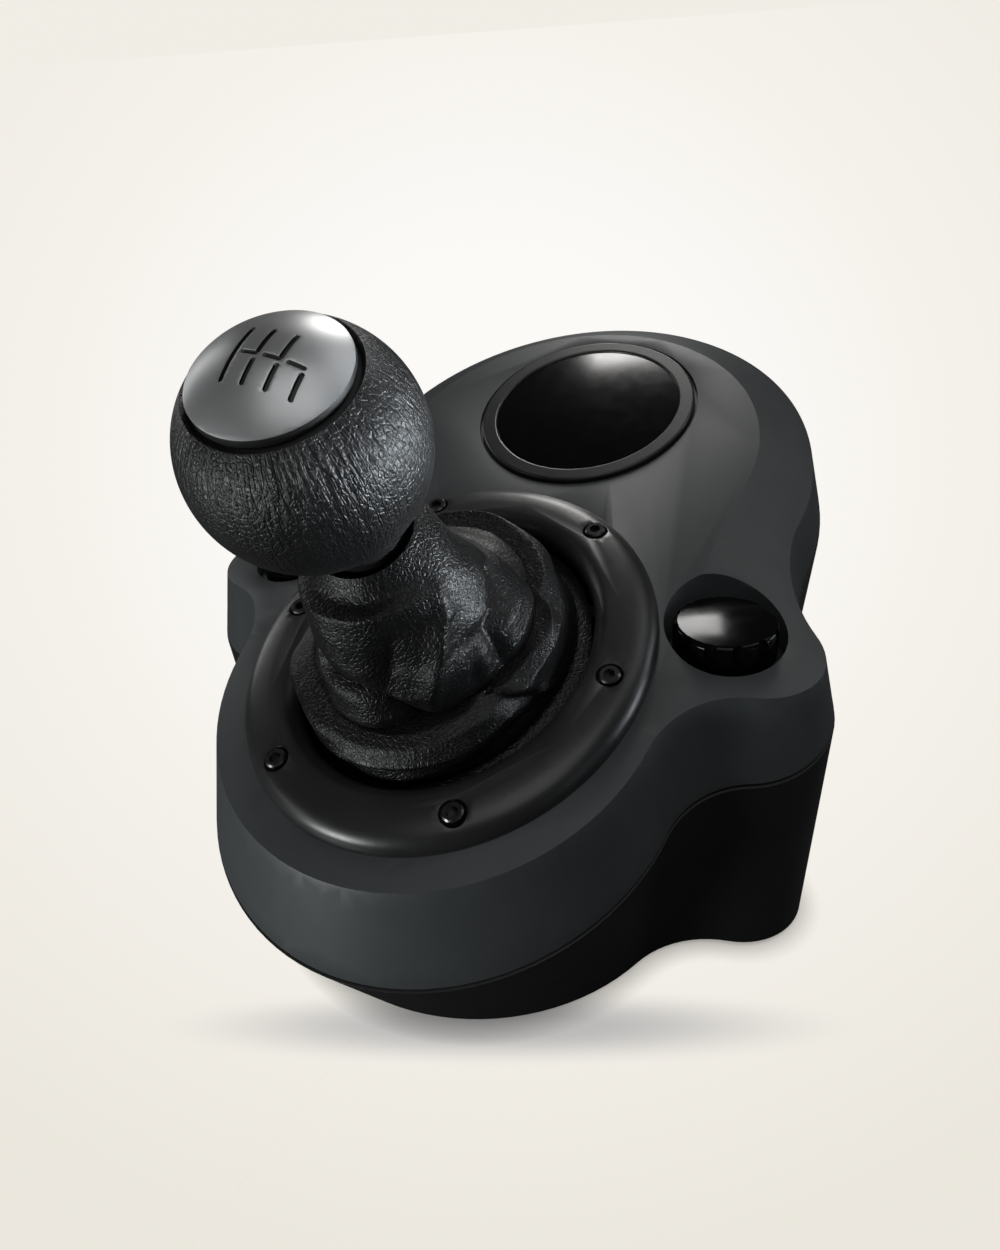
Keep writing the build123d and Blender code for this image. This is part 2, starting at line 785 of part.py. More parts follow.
badge_rise = badge_crown * badge_rise_share
badge_ball_r = (badge_r**2 + badge_rise**2) / (2 * badge_rise)
with BuildPart() as badge_dome:
    with BuildSketch(top_plane(-badge_seat_depth, badge_y)):
        Circle(badge_r)
    extrude(amount=badge_seat_depth + badge_crown)
    with Locations(TOP.from_local_coords((0, badge_y, badge_crown - badge_ball_r))):
        Sphere(badge_ball_r, mode=Mode.INTERSECT)
    with BuildSketch(top_plane(-badge_seat_depth, badge_y)):
        with Locations((-badge_stud_x, 0), (badge_stud_x, 0)):
            Circle(badge_stud_r)
    extrude(amount=-badge_stud_length)
finish(badge_dome, "badge_dome")

with BuildPart() as badge_ring:
    with BuildSketch(top_plane(-badge_groove_depth, badge_y)):
        Circle(badge_trim_r)
        Circle(badge_r + 2 * running_clearance, mode=Mode.SUBTRACT)
    extrude(amount=badge_groove_depth + badge_trim_height)
    fillet(badge_ring.edges().group_by(Axis((0, 0, 0), top_normal))[-1], badge_trim_height * 2 / 3)
finish(badge_ring, "badge_ring")


# Clamps: a knob on an upright screw that drives a jaw up and down, one on each side

notch_ring = clamp_knob_r + clamp_notch_out
for side, hand in ((-1, "left"), (1, "right")):
    knob_bottom_z = clamp_knob_top - clamp_knob_height
    rim_z = clamp_knob_top - clamp_knob_crown
    axis_x = side * clamp_x
    with BuildPart() as clamp_knob:
        with BuildSketch(Plane.XZ.offset(-clamp_y)) as knob_profile:
            with BuildLine():
                Line((axis_x, clamp_knob_top), (axis_x, knob_bottom_z))
                Line((axis_x, knob_bottom_z), (axis_x + clamp_knob_r, knob_bottom_z))
                Line((axis_x + clamp_knob_r, knob_bottom_z), (axis_x + clamp_knob_r, rim_z))
                TangentArc((axis_x, clamp_knob_top), (axis_x + clamp_knob_r, rim_z), tangent=(1, 0))
            make_face()
        revolve(knob_profile.sketch, axis=Axis((axis_x, clamp_y, 0), (0, 0, 1)))
        rims = clamp_knob.edges().filter_by(lambda edge: edge.length > 2 * clamp_knob_r)
        fillet(rims.group_by(Axis.Z)[-1], clamp_knob_fillet)
        with Locations((axis_x, clamp_y, rim_z - clamp_notch_depth)):
            with PolarLocations(notch_ring, clamp_notches, start_angle=-90):
                Cylinder(clamp_notch_r, clamp_notch_depth + overrun, align=to_top, mode=Mode.SUBTRACT)
        with Locations((axis_x, clamp_y, well_floor + running_clearance)):
            column(well_floor, knob_bottom_z, clamp_hub_r)
            column(well_floor + running_clearance, clamp_knob_top - clamp_screw_top_cover,
                   clamp_screw_r + running_clearance, Mode.SUBTRACT)
    finish(clamp_knob, f"clamp_knob_{hand}")

    flange_top = well_bottom - washer_thickness - 2 * running_clearance
    with BuildPart() as clamp_screw:
        with Locations((axis_x, clamp_y, clamp_screw_bottom)):
            column(clamp_screw_bottom, clamp_knob_top - clamp_screw_top_cover, clamp_screw_r)
        with Locations((axis_x, clamp_y, flange_top - clamp_flange_height)):
            column(0, clamp_flange_height, clamp_flange_r)
    finish(clamp_screw, f"clamp_screw_{hand}")

    with BuildPart() as thrust_washer:
        with Locations((axis_x, clamp_y, well_bottom - washer_thickness)):
            column(0, washer_thickness, clamp_flange_r)
            column(0, washer_thickness, clamp_screw_r + screw_clearance, Mode.SUBTRACT)
    finish(thrust_washer, f"thrust_washer_{hand}")

    with BuildPart() as clamp_jaw:
        with Locations((axis_x, clamp_y, jaw_bottom)):
            Box(jaw_side, jaw_side, jaw_column_top - jaw_bottom, align=to_top)
        with Locations((side * arm_x, arm_y, jaw_bottom)):
            Box(jaw_arm_width, arm_length, jaw_arm_height, align=to_top)
        fillet(clamp_jaw.edges().filter_by(Axis.Z).group_by(Axis.Y)[-1], jaw_fillet)
        with Locations((axis_x, clamp_y, 2 * jaw_bottom)):
            column(2 * jaw_bottom, jaw_column_top, clamp_screw_r + screw_clearance, Mode.SUBTRACT)
        with Locations((axis_x, clamp_y, jaw_column_top - jaw_nut_height)):
            column(0, jaw_nut_height, jaw_nut_r + running_clearance, Mode.SUBTRACT)
    finish(clamp_jaw, f"clamp_jaw_{hand}")

    with BuildPart() as clamp_nut:
        with Locations((axis_x, clamp_y, jaw_column_top - jaw_nut_height)):
            column(0, jaw_nut_height, jaw_nut_r)
            column(0, jaw_nut_height, clamp_screw_r + running_clearance, Mode.SUBTRACT)
    finish(clamp_nut, f"clamp_nut_{hand}")

    with BuildPart() as jaw_pad:
        with Locations((side * arm_x, clamp_y + jaw_arm_back - jaw_pad_inset - jaw_pad_length / 2,
                        jaw_bottom + jaw_arm_height)):
            Box(jaw_arm_width - 2 * jaw_pad_inset, jaw_pad_length, jaw_pad_height, align=to_top)
    finish(jaw_pad, f"jaw_pad_{hand}")


# Feet, inserts and the screws that go in from below

with BuildPart() as foot_pads:
    for x, y in feet_at:
        with Locations((x, y, 0)):
            column(0, foot_top, foot_r)
finish(foot_pads, "foot_pads")

with BuildPart() as mount_inserts:
    for x in (-insert_x, insert_x):
        with Locations((x, insert_y, foot_proud)):
            column(0, insert_length, insert_r)
            column(0, insert_length, insert_bore_r, Mode.SUBTRACT)
finish(mount_inserts, "mount_inserts")

with BuildPart() as case_screws:
    for x, y in case_bosses:
        head_top = boss_height(y) - case_head_web
        with Locations((x, y, head_top - case_head_height)):
            column(0, case_head_height, case_head_r)
            column(0, case_head_height + case_head_web + case_screw_into_upper, case_screw_r)
finish(case_screws, "case_screws")

with BuildPart() as leg_screws:
    for x, y, top in legs_at:
        with Locations((x, y, foot_proud - case_head_height / 2)):
            column(0, case_head_height / 2, case_head_r)
            column(0, leg_screw_length, case_screw_r)
finish(leg_screws, "leg_screws")


# Frame for the lever mechanism, its gate plate and their screws

select_bush_r = select_axle_r + bush_wall
corner_at = [(sx * (frame_half_x - frame_corner / 2), sy * (frame_half_y - frame_corner / 2))
             for sx in (-1, 1) for sy in (-1, 1)]

with BuildPart() as pivot_frame:
    with BuildSketch(lever_plane(-gate_depth)):
        Rectangle(2 * frame_half_x, 2 * frame_half_y)
        Rectangle(2 * (frame_half_x - frame_wall), 2 * (frame_half_y - frame_wall), mode=Mode.SUBTRACT)
    extrude(amount=gate_depth + frame_top)
    with BuildSketch(lever_plane(-gate_depth)):
        with Locations(*corner_at):
            Rectangle(frame_corner, frame_corner)
    extrude(amount=gate_screw_length)
    for x, y, top in legs_at:
        with Locations((x, y, floor_top)):
            column(floor_top, top, frame_leg_r)
            column(0, leg_screw_length, case_screw_r + running_clearance, Mode.SUBTRACT)
    with BuildSketch(lever_plane(-gate_depth)):
        with Locations(*corner_at):
            Circle(gate_screw_r + running_clearance)
    extrude(amount=gate_screw_length, mode=Mode.SUBTRACT)
    with BuildSketch(Plane(origin=PIVOT.from_local_coords((0, -2 * frame_half_y, 0)), x_dir=(1, 0, 0),
                           z_dir=lever_across)):
        Circle(select_bush_r + running_clearance)
    extrude(amount=4 * frame_half_y, mode=Mode.SUBTRACT)
finish(pivot_frame, "pivot_frame")

slot_half = pin_r + gate_margin
slot_reach_x = (gate_depth + gate_thickness / 2) * tan(radians(gate_half_angle_select))
slot_reach_y = (gate_depth + gate_thickness) * tan(radians(gate_half_angle_shift)) / cos(
    radians(gate_half_angle_select)) + slot_half
with BuildPart() as gate_plate:
    with BuildSketch(lever_plane(-gate_depth - gate_thickness)):
        Rectangle(2 * gate_half_x, 2 * frame_half_y)
        with Locations(*[(step * slot_reach_x, 0) for step in (-1, 0, 1)]):
            SlotOverall(2 * slot_reach_y, 2 * slot_half, rotation=90, mode=Mode.SUBTRACT)
        Rectangle(2 * slot_reach_x, 2 * slot_half, mode=Mode.SUBTRACT)
        with Locations(*corner_at):
            Circle(gate_screw_r + screw_clearance, mode=Mode.SUBTRACT)
    extrude(amount=gate_thickness)
finish(gate_plate, "gate_plate")

with BuildPart() as gate_screws:
    with BuildSketch(lever_plane(-gate_depth - gate_thickness)):
        with Locations(*corner_at):
            Circle(gate_head_r)
    extrude(amount=-gate_head_height)
    with BuildSketch(lever_plane(-gate_depth - gate_thickness)):
        with Locations(*corner_at):
            Circle(gate_screw_r)
    extrude(amount=gate_screw_length)
finish(gate_screws, "gate_screws")


# Cradle that tilts left and right on two axles, and the yoke that tilts fore and aft in it

def across_plane(place):
    """Plane square to the select axles, at a place along them from the pivot."""
    return Plane(origin=PIVOT.from_local_coords((0, place, 0)), x_dir=(1, 0, 0), z_dir=lever_across)


def side_plane(place):
    """Plane square to the shift axle, at a place along it from the pivot."""
    return Plane(origin=(place, pivot_y, pivot_z), x_dir=lever_across, z_dir=(1, 0, 0))


def rod_along(plane_at, ends, radius, mode=Mode.ADD, bore=0):
    """Round rod or tube along one of the pivot's axes between two places."""
    with BuildSketch(plane_at(ends[0])) as face:
        Circle(radius)
        if bore:
            Circle(bore, mode=Mode.SUBTRACT)
    extrude(face.sketch, amount=ends[1] - ends[0], mode=mode)


with BuildPart() as select_bushes:
    for side in (-1, 1):
        inner = frame_half_y - frame_wall
        rod_along(across_plane, (side * inner, side * frame_half_y), select_bush_r,
                  bore=select_axle_r + running_clearance)
        rod_along(across_plane, (side * (inner - bush_flange), side * inner), bush_flange_r,
                  bore=select_axle_r + running_clearance)
finish(select_bushes, "select_bushes")

shift_bush_r = shift_axle_r + bush_wall
with BuildPart() as select_cradle:
    with BuildSketch(lever_plane(-cradle_half_height)):
        Rectangle(2 * cradle_half_x, 2 * cradle_half_y)
        Rectangle(2 * cradle_open_x, 2 * cradle_open_y, mode=Mode.SUBTRACT)
    extrude(amount=2 * cradle_half_height)
    rod_along(side_plane, (-2 * cradle_half_x, 2 * cradle_half_x), shift_bush_r + running_clearance,
              Mode.SUBTRACT)
    rod_along(across_plane, (-2 * cradle_half_y, 2 * cradle_half_y), select_axle_r + running_clearance,
              Mode.SUBTRACT)
finish(select_cradle, "select_cradle")

with BuildPart() as shift_bushes:
    for side in (-1, 1):
        rod_along(side_plane, (side * cradle_open_x, side * cradle_half_x), shift_bush_r,
                  bore=shift_axle_r + running_clearance)
finish(shift_bushes, "shift_bushes")

with BuildPart() as select_axles:
    rod_along(across_plane, (-select_axle_in, -select_axle_front_end), select_axle_r)
    rod_along(across_plane, (select_axle_in, select_axle_rear_end), select_axle_r)
finish(select_axles, "select_axles")

with BuildPart() as shift_axles:
    rod_along(side_plane, (-shift_axle_in, -shift_axle_left_end), shift_axle_r)
    rod_along(side_plane, (shift_axle_in, shift_axle_right_end), shift_axle_r)
finish(shift_axles, "shift_axles")

with BuildPart() as shift_yoke:
    rod_along(lever_plane, (-yoke_bottom, yoke_neck_start), yoke_sleeve_r)
    rod_along(lever_plane, (yoke_neck_start, yoke_top), yoke_neck_r)
    rod_along(side_plane, (-yoke_boss_half, yoke_boss_half), yoke_boss_r)
    rod_along(lever_plane, (-yoke_bottom, yoke_top), rod_r + running_clearance, Mode.SUBTRACT)
    for side in (-1, 1):
        rod_along(side_plane, (side * shift_axle_in, side * 2 * yoke_boss_half),
                  shift_axle_r + running_clearance, Mode.SUBTRACT)
finish(shift_yoke, "shift_yoke")

with BuildPart() as select_sensor:
    rod_along(across_plane, (frame_half_y, frame_half_y + select_sensor_height), select_sensor_r,
              bore=select_axle_r + running_clearance)
finish(select_sensor, "select_sensor")

with BuildPart() as shift_sensor:
    rod_along(side_plane, (cradle_half_x, cradle_half_x + shift_sensor_height), shift_sensor_r,
              bore=shift_axle_r + running_clearance)
finish(shift_sensor, "shift_sensor")

torsion_room = frame_half_y - frame_wall - bush_flange - cradle_half_y
torsion_pitch = (torsion_room - 4 * torsion_wire_r) / torsion_turns
torsion_r = select_axle_r + 2 * torsion_wire_r
with BuildPart() as torsion_springs:
    for side in (-1, 1):
        start = PIVOT.from_local_coords((0, side * (cradle_half_y + 2 * torsion_wire_r), 0))
        direction = tuple(side * value for value in lever_across)
        with BuildLine() as coil:
            Helix(torsion_pitch, torsion_pitch * torsion_turns, torsion_r, center=start, direction=direction)
        with BuildSketch(Plane(origin=coil.line @ 0, z_dir=coil.line % 0)) as wire:
            Circle(torsion_wire_r)
        sweep(wire.sketch, path=coil.line)
finish(torsion_springs, "torsion_springs")


# Lever rod with its gate pin and clip, the push spring and the knob

with BuildPart() as lever_rod:
    rod_along(lever_plane, (-pin_top, knob_base + knob_socket_depth - part_gap), rod_r)
    rod_along(lever_plane, (-pin_bottom, -pin_top), pin_r)
finish(lever_rod, "lever_rod")

clip_top = yoke_bottom + running_clearance
with BuildPart() as lever_clip:
    rod_along(lever_plane, (-clip_top - clip_thickness, -clip_top), clip_r, bore=rod_r + running_clearance)
finish(lever_clip, "lever_clip")

push_length = spring_top - yoke_top - 2 * push_wire_r - 2 * running_clearance
with BuildPart() as push_spring:
    with BuildLine() as coil:
        Helix(push_length / push_turns, push_length, push_coil_r,
              center=PIVOT.from_local_coords((0, 0, yoke_top + push_wire_r + running_clearance)),
              direction=lever_direction)
    with BuildSketch(Plane(origin=coil.line @ 0, z_dir=coil.line % 0)) as wire:
        Circle(push_wire_r)
    sweep(wire.sketch, path=coil.line)
finish(push_spring, "push_spring")

with BuildPart() as knob_collar:
    with BuildSketch(lever_plane(spring_top)) as collar_low:
        Circle(knob_collar_r)
    with BuildSketch(lever_plane(knob_base)) as collar_high:
        Circle(knob_collar_top_r)
    loft([collar_low.sketch, collar_high.sketch], ruled=True)
    rod_along(lever_plane, (spring_top, knob_base), rod_r + running_clearance, Mode.SUBTRACT)
finish(knob_collar, "knob_collar")

knob_centre = PIVOT.from_local_coords((0, 0, knob_height))
lean = radians(knob_cap_lean_deg)
cap_tilt = radians(lever_tilt_deg - knob_cap_back_deg)
cap_direction = (sin(lean), -sin(cap_tilt) * cos(lean), cos(cap_tilt) * cos(lean))
cap_across = (cos(lean), sin(cap_tilt) * sin(lean), -cos(cap_tilt) * sin(lean))
CAP = Plane(origin=knob_centre, x_dir=cap_across, z_dir=cap_direction)
cap_seat = knob_r * cos(radians(knob_cap_half_deg)) - knob_cap_thickness / 2
cap_r = knob_r * sin(radians(knob_cap_half_deg))
core_r = knob_r - knob_cover_thickness


def knob_ball(radius, mode=Mode.ADD):
    with Locations(knob_centre):
        Sphere(radius, mode=mode)


def above_cap_seat(radius, lift, mode):
    with BuildSketch(CAP.offset(cap_seat + lift)) as face:
        Circle(radius)
    extrude(face.sketch, amount=knob_r, mode=mode)


def below_knob_base(mode):
    with BuildSketch(lever_plane(knob_base)) as face:
        Circle(knob_r)
    extrude(face.sketch, amount=-knob_r, mode=mode)


with BuildPart() as knob_core:
    knob_ball(core_r - running_clearance)
    above_cap_seat(knob_r, 0, Mode.SUBTRACT)
    below_knob_base(Mode.SUBTRACT)
    rod_along(lever_plane, (knob_base, knob_base + knob_socket_depth), rod_r + running_clearance, Mode.SUBTRACT)
finish(knob_core, "knob_core")

with BuildPart() as knob_cover:
    knob_ball(knob_r)
    knob_ball(core_r, Mode.SUBTRACT)
    above_cap_seat(cap_r + knob_groove, 0, Mode.SUBTRACT)
    below_knob_base(Mode.SUBTRACT)
finish(knob_cover, "knob_cover")

PATTERN = Plane(origin=CAP.from_local_coords((pattern_shift, -pattern_drop, 0)), x_dir=cap_across,
                z_dir=cap_direction)
stroke_columns = [(step - (pattern_columns - 1) / 2) * pattern_pitch for step in range(pattern_columns)]
with BuildPart() as shift_pattern:
    with BuildSketch(PATTERN):
        for index, x in enumerate(stroke_columns):
            low = -pattern_lower
            high = -pattern_gap if index else pattern_upper
            with Locations((x, (low + high) / 2)):
                SlotOverall(high - low, pattern_width, rotation=90)
            if index in (1, 2):
                with Locations((x, pattern_upper / 2)):
                    SlotOverall(pattern_upper, pattern_width, rotation=90)
            if index:
                reach = pattern_pitch - pattern_gap
                with Locations((x - reach / 2 + pattern_width / 4, 0)):
                    SlotOverall(reach, pattern_width)
    extrude(amount=2 * knob_r)
    knob_ball(knob_r + knob_cap_proud - pattern_depth, Mode.SUBTRACT)

with BuildPart() as knob_cap:
    knob_ball(knob_r + knob_cap_proud)
    above_cap_seat(cap_r, 0, Mode.INTERSECT)
    add(shift_pattern.part, mode=Mode.SUBTRACT)
finish(knob_cap, "knob_cap")


# Circuit board on its posts, with what stands on it, and the cable outlet

with BuildPart() as circuit_board:
    with Locations((0, board_y, board_z)):
        Box(board_length, board_width, board_thickness, align=to_top)
    for x, y in board_posts_at:
        with Locations((x, y, board_z)):
            column(0, board_thickness, board_screw_r + screw_clearance, Mode.SUBTRACT)
finish(circuit_board, "circuit_board")

board_top = board_z + board_thickness
with BuildPart() as board_screws:
    for x, y in board_posts_at:
        with Locations((x, y, floor_top + part_gap)):
            column(floor_top + part_gap, board_top, board_screw_r)
        with Locations((x, y, board_top)):
            column(0, board_head_height, board_head_r)
finish(board_screws, "board_screws")

with BuildPart() as controller_chip:
    with Locations((0, board_y + chip_y, board_top)):
        Box(chip_side, chip_side, chip_height, align=to_top)
finish(controller_chip, "controller_chip")

with BuildPart() as capacitors:
    for side in (-1, 1):
        with Locations((side * capacitor_x, board_y + capacitor_y, board_top)):
            column(0, capacitor_height, capacitor_r)
finish(capacitors, "capacitors")

with BuildPart() as cable_header:
    with Locations((0, board_y + header_place_y, board_top)):
        Box(header_x, header_y, header_height, align=to_top)
finish(cable_header, "cable_header")

with BuildPart() as cable_gland:
    with BuildSketch(Plane.XZ.offset(-gland_wall_y - gland_outside)):
        with Locations((0, gland_z)):
            Circle(gland_r)
    extrude(amount=gland_outside + gland_inside)
    with BuildSketch(Plane.XZ.offset(-gland_face_y - gland_flange)):
        with Locations((0, gland_z)):
            Circle(gland_flange_r)
    extrude(amount=gland_flange)
    with BuildSketch(Plane.XZ.offset(-gland_wall_y - gland_outside)):
        with Locations((0, gland_z)):
            Circle(gland_bore_r)
    extrude(amount=gland_outside + gland_inside, mode=Mode.SUBTRACT)
finish(cable_gland, "cable_gland")
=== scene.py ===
# Gear shifter for driving games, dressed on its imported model. All sizes are in metres.
# +X is the driver's right, +Y points away from the driver and +Z is up.

from math import cos, exp, pi, radians, sin, tau

import bpy
from mathutils import Matrix, Vector


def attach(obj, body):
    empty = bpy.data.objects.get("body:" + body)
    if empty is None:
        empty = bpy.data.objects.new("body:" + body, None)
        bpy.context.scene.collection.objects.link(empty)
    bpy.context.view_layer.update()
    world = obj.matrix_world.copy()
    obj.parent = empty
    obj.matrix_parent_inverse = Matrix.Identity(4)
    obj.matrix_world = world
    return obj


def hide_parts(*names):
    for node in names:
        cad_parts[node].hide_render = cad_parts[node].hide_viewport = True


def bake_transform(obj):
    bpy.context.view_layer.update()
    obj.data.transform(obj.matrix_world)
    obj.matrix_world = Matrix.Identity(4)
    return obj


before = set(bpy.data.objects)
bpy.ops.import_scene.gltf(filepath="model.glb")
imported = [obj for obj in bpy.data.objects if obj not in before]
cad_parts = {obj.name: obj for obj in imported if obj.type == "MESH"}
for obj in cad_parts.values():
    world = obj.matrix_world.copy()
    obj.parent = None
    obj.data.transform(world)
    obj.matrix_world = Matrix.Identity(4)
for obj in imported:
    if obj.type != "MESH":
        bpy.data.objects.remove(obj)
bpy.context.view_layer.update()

mm = 0.001
up_axis = Vector((0, 0, 1))

# Top face of the housing and the neutral lever, as the part has them
top_tilt = radians(20)
top_height = 73 * mm
lever_tilt = radians(29)
pivot = Vector((0, 8.6, 53.7)) * mm
top_frame = Matrix.Translation((0, 0, top_height)) @ Matrix.Rotation(top_tilt, 4, "X")
lever_frame = Matrix.Translation(pivot) @ Matrix.Rotation(lever_tilt, 4, "X")

# Knob and its cap
knob_centre = lever_frame @ Vector((0, 0, 95 * mm))
knob_r = 21.7 * mm
knob_base = -18.6 * mm
knob_cap_seat = 15.47 * mm
cap_face_r = 21.95 * mm
cap_tilt = radians(26.8)
cap_lean = radians(5.6)
knob_frame = Matrix.Translation(knob_centre) @ Matrix.Rotation(lever_tilt, 4, "X")
cap_frame = (Matrix.Translation(knob_centre) @ Matrix.Rotation(cap_tilt, 4, "X")
             @ Matrix.Rotation(cap_lean, 4, "Y"))


# Small helpers for work on a piece

def deselect():
    bpy.ops.object.select_all(action="DESELECT")


def select_only(piece):
    deselect()
    piece.select_set(True)
    bpy.context.view_layer.objects.active = piece


def pick_all(piece):
    """Go into edit mode with the whole mesh selected."""
    select_only(piece)
    bpy.ops.object.mode_set(mode="EDIT")
    bpy.ops.mesh.select_mode(type="VERT")
    bpy.ops.mesh.select_all(action="SELECT")


def end_edit():
    bpy.ops.object.mode_set(mode="OBJECT")


def cut(piece, place, normal, **side):
    """Cut the piece at a plane and clear one side of it."""
    pick_all(piece)
    bpy.ops.mesh.bisect(plane_co=place, plane_no=normal, **side)
    end_edit()


def place_in_mesh(piece, matrix):
    """Put the piece where the matrix says, with its object left at the origin."""
    piece.data.transform(matrix @ piece.matrix_world)
    piece.matrix_world = Matrix.Identity(4)


def apply_modifier(piece, kind, **settings):
    modifier = piece.modifiers.new(kind.title(), kind)
    for name, value in settings.items():
        setattr(modifier, name, value)
    bpy.context.view_layer.objects.active = piece
    bpy.ops.object.modifier_apply(modifier=modifier.name)


def round_edges(piece, width, segments, sharp_deg):
    apply_modifier(piece, "BEVEL", width=width, segments=segments, limit_method="ANGLE",
                   angle_limit=radians(sharp_deg))


def smooth(piece, angle_deg):
    select_only(piece)
    bpy.ops.object.shade_smooth_by_angle(angle=radians(angle_deg))


def wear(piece, finish):
    piece.data.materials.clear()
    piece.data.materials.append(finishes[finish])


# Small helpers for materials

def give(home, target, value):
    """Link an input to the value if that is a socket, or else set it."""
    if isinstance(value, bpy.types.NodeSocket):
        home.node_tree.links.new(value, target)
    else:
        target.default_value = value


def give_all(home, node, inputs):
    """Give each named input its value. An underscore in a name stands for a space."""
    for name, value in inputs.items():
        give(home, node.inputs[name.replace("_", " ")], value)


def node_in(home, kind, **inputs):
    """New node in a material or in the world."""
    node = home.node_tree.nodes.new(kind)
    give_all(home, node, inputs)
    return node


def surface_of(material):
    return material.node_tree.nodes["Principled BSDF"]


def set_surface(material, **inputs):
    give_all(material, surface_of(material), inputs)


def maths(material, kind, operation, *values):
    """New maths node that works on sockets or values."""
    step = node_in(material, kind)
    step.operation = operation
    for target, value in zip(step.inputs, values):
        give(material, target, value)
    return step


def vector_maths(material, operation, *values):
    return maths(material, "ShaderNodeVectorMath", operation, *values).outputs["Vector"]


def vector_measure(material, operation, *values):
    return maths(material, "ShaderNodeVectorMath", operation, *values).outputs["Value"]


def scaled(material, value, factor, more=0):
    """The value times the factor, plus more."""
    return maths(material, "ShaderNodeMath", "MULTIPLY_ADD", value, factor, more).outputs["Value"]


def ranged(material, value, ease="LINEAR", **limits):
    """The value brought from one range to another."""
    step = node_in(material, "ShaderNodeMapRange", Value=value, **limits)
    step.interpolation_type = ease
    return step.outputs["Result"]


def noise(material, place, **inputs):
    return node_in(material, "ShaderNodeTexNoise", Vector=place, **inputs).outputs["Fac"]


def colour_ramp(material, value, stops):
    """Colour for the value, from stops that each have a position and a tone."""
    ramp = node_in(material, "ShaderNodeValToRGB", Fac=value)
    elements = ramp.color_ramp.elements
    while len(elements) < len(stops):
        elements.new(0.5)
    for element, (position, tone) in zip(elements, stops):
        element.position = position
        element.color = (*tone, 1)
    return ramp.outputs["Color"]


def object_place(material, stretch=(1, 1, 1)):
    """Object coordinates, stretched by a mapping."""
    place = node_in(material, "ShaderNodeTexCoord").outputs["Object"]
    return node_in(material, "ShaderNodeMapping", Vector=place, Scale=stretch).outputs["Vector"]


def local_place(material, place, middle, turn, size=(1, 1, 1)):
    """The place as a frame of its own measures it."""
    local = node_in(material, "ShaderNodeMapping", Vector=place, Location=middle, Rotation=turn, Scale=size)
    local.vector_type = "TEXTURE"
    return local.outputs["Vector"]


def show_camera(home, others_see, camera_sees, output):
    """Show the camera one shader, while the light meets the other."""
    path = node_in(home, "ShaderNodeLightPath")
    mix = node_in(home, "ShaderNodeMixShader", Fac=path.outputs["Is Camera Ray"])
    give(home, mix.inputs[1], others_see)
    give(home, mix.inputs[2], camera_sees)
    give(home, home.node_tree.nodes[output].inputs["Surface"], mix.outputs["Shader"])


# Materials. The larger the scale of a pattern, the finer it is

plastic_tone_scale = 45
plastic_gloss_scale = 260
plastic_gloss_spread = (0.04, 0.05)
plastic_grain_scale = 3200
plastic_grain_strength = 0.6
metal_stretch = (1, 1, 0.15)
metal_shade = 0.85
metal_tone_scale = 400
metal_gloss_scale = 900
metal_gloss_spread = (0.06, 0.08)
leather_tone_scale = 60
leather_gloss_scale = 300
leather_gloss_spread = (0.06, 0.08)
knob_gloss_spread = (0.05, 0.08)
leather_crease_scale = 240
leather_strength = 0.6
pebble_round_off = 0.22
knob_pebble_scale = 900
knob_pebble_share = 0.12
knob_strength = 0.9
wrinkle_fade_from = -0.75
wrinkle_fade_to = 0.55
wrinkle_least = 0.35


def new_material(name, colour, roughness, metallic=0.0, specular=0.5):
    material = bpy.data.materials.new(name)
    material.use_nodes = True
    set_surface(material, Base_Color=(*colour, 1), Roughness=roughness, Metallic=metallic,
                Specular_IOR_Level=specular)
    return material


def mottle(material, place, scale, dark, light, low=0.3, high=0.7):
    """Colour that varies softly between two tones."""
    spots = noise(material, place, Scale=scale, Detail=4, Roughness=0.6)
    set_surface(material, Base_Color=colour_ramp(material, spots, [(low, dark), (high, light)]))


def vary_roughness(material, place, scale, roughness, spread):
    """Roughness that varies softly. The spread says how much smoother and how much rougher it gets."""
    smoother, rougher = spread
    spots = noise(material, place, Scale=scale, Detail=3)
    varied = ranged(material, spots, To_Min=roughness - smoother, To_Max=roughness + rougher)
    set_surface(material, Roughness=varied)


def raise_surface(material, height, distance, strength):
    bump = node_in(material, "ShaderNodeBump", Height=height, Strength=strength, Distance=distance)
    set_surface(material, Normal=bump.outputs["Normal"])


def pebbles(material, place, scale):
    """Height of small rounded grains with fine lines between them."""
    cells = node_in(material, "ShaderNodeTexVoronoi", Vector=place, Scale=scale)
    cells.feature = "DISTANCE_TO_EDGE"
    return ranged(material, cells.outputs["Distance"], "SMOOTHERSTEP", From_Max=pebble_round_off)


def grained_plastic(name, dark, light, roughness, grain_mm, specular):
    """Moulded plastic with a very fine grain and slightly uneven tone."""
    material = new_material(name, dark, roughness, specular=specular)
    place = object_place(material)
    mottle(material, place, plastic_tone_scale, dark, light)
    vary_roughness(material, place, plastic_gloss_scale, roughness, plastic_gloss_spread)
    grain = noise(material, place, Scale=plastic_grain_scale, Detail=3)
    raise_surface(material, grain, grain_mm * mm, plastic_grain_strength)
    return material


def brushed(name, colour, roughness):
    """Turned or drawn metal."""
    material = new_material(name, colour, roughness, metallic=1)
    place = object_place(material, metal_stretch)
    shaded = [part * metal_shade for part in colour]
    mottle(material, place, metal_tone_scale, shaded, colour, low=0.35, high=0.65)
    vary_roughness(material, place, metal_gloss_scale, roughness, metal_gloss_spread)
    return material


